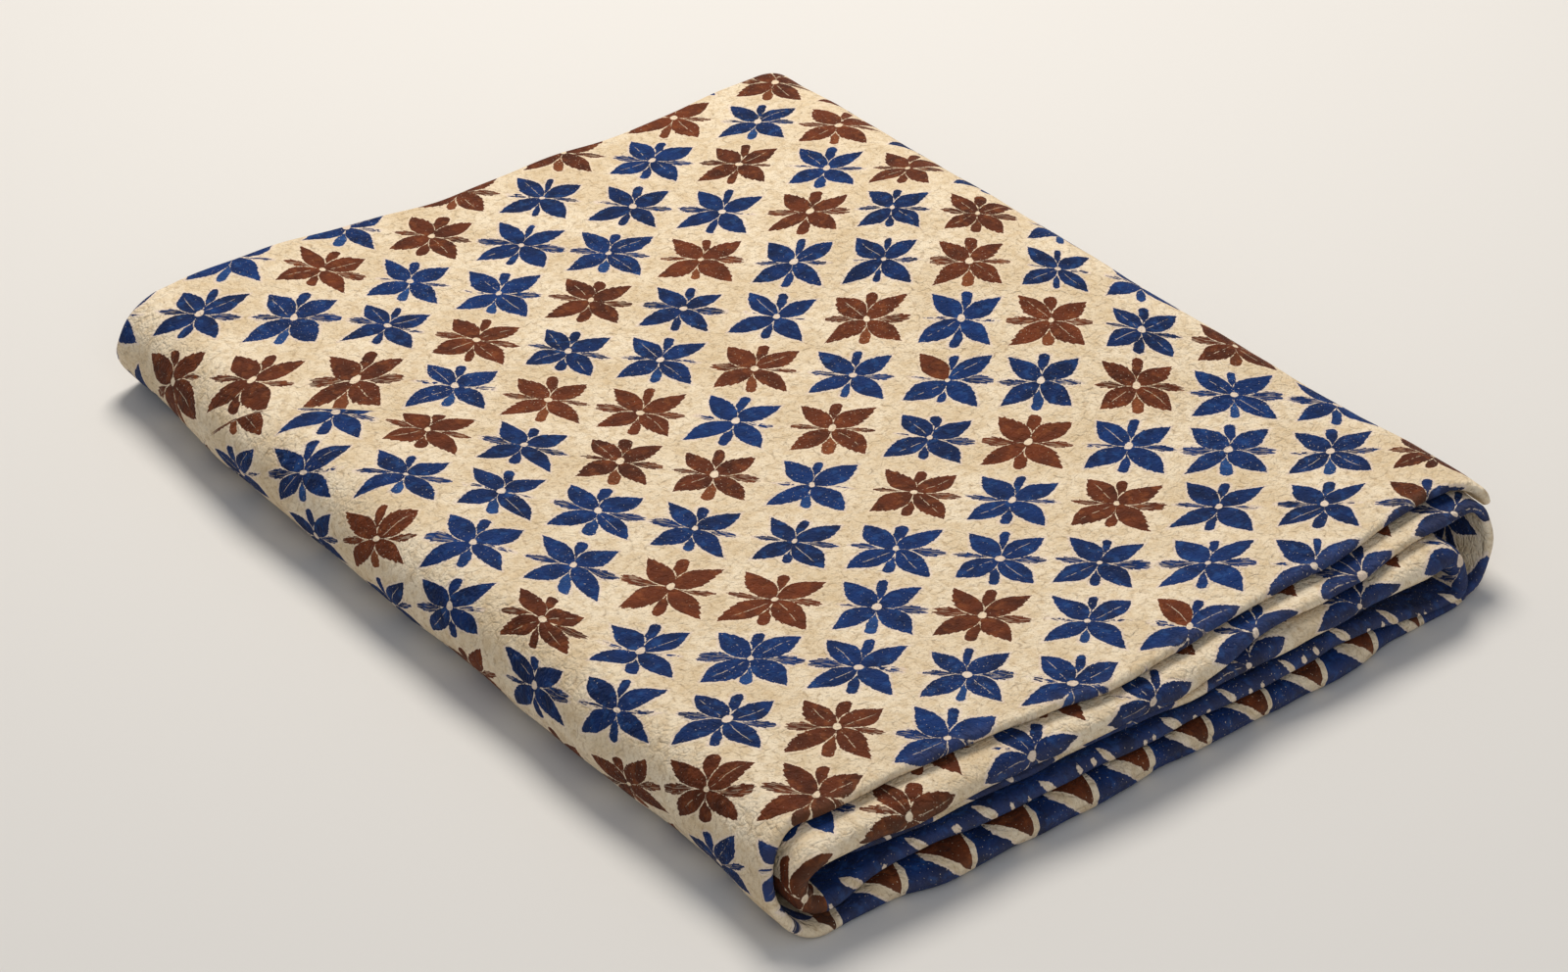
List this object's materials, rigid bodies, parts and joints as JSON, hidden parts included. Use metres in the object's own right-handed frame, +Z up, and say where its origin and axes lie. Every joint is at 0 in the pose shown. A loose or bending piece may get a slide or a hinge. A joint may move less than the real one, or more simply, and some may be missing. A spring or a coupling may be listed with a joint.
{
  "type": "folded batik cloth",
  "caption": "Length of batik cotton cloth folded into a flat soft-edged rectangular bundle, to lie on a shelf or table.",
  "frame": {"origin": "middle of the folded bundle, on the surface it rests on", "axes": "+Z up through the layers, +Y from the front folds to the back folds, +X along the front folds to the side where the outer cut end hangs"},
  "size_m": [0.221, 0.2936, 0.035],
  "materials": {
    "batik_cotton": "matt cream cotton with small blue and russet star motifs"
  },
  "bodies": {
    "root": {"cloth": "batik_cotton"}
  },
  "joints": []
}
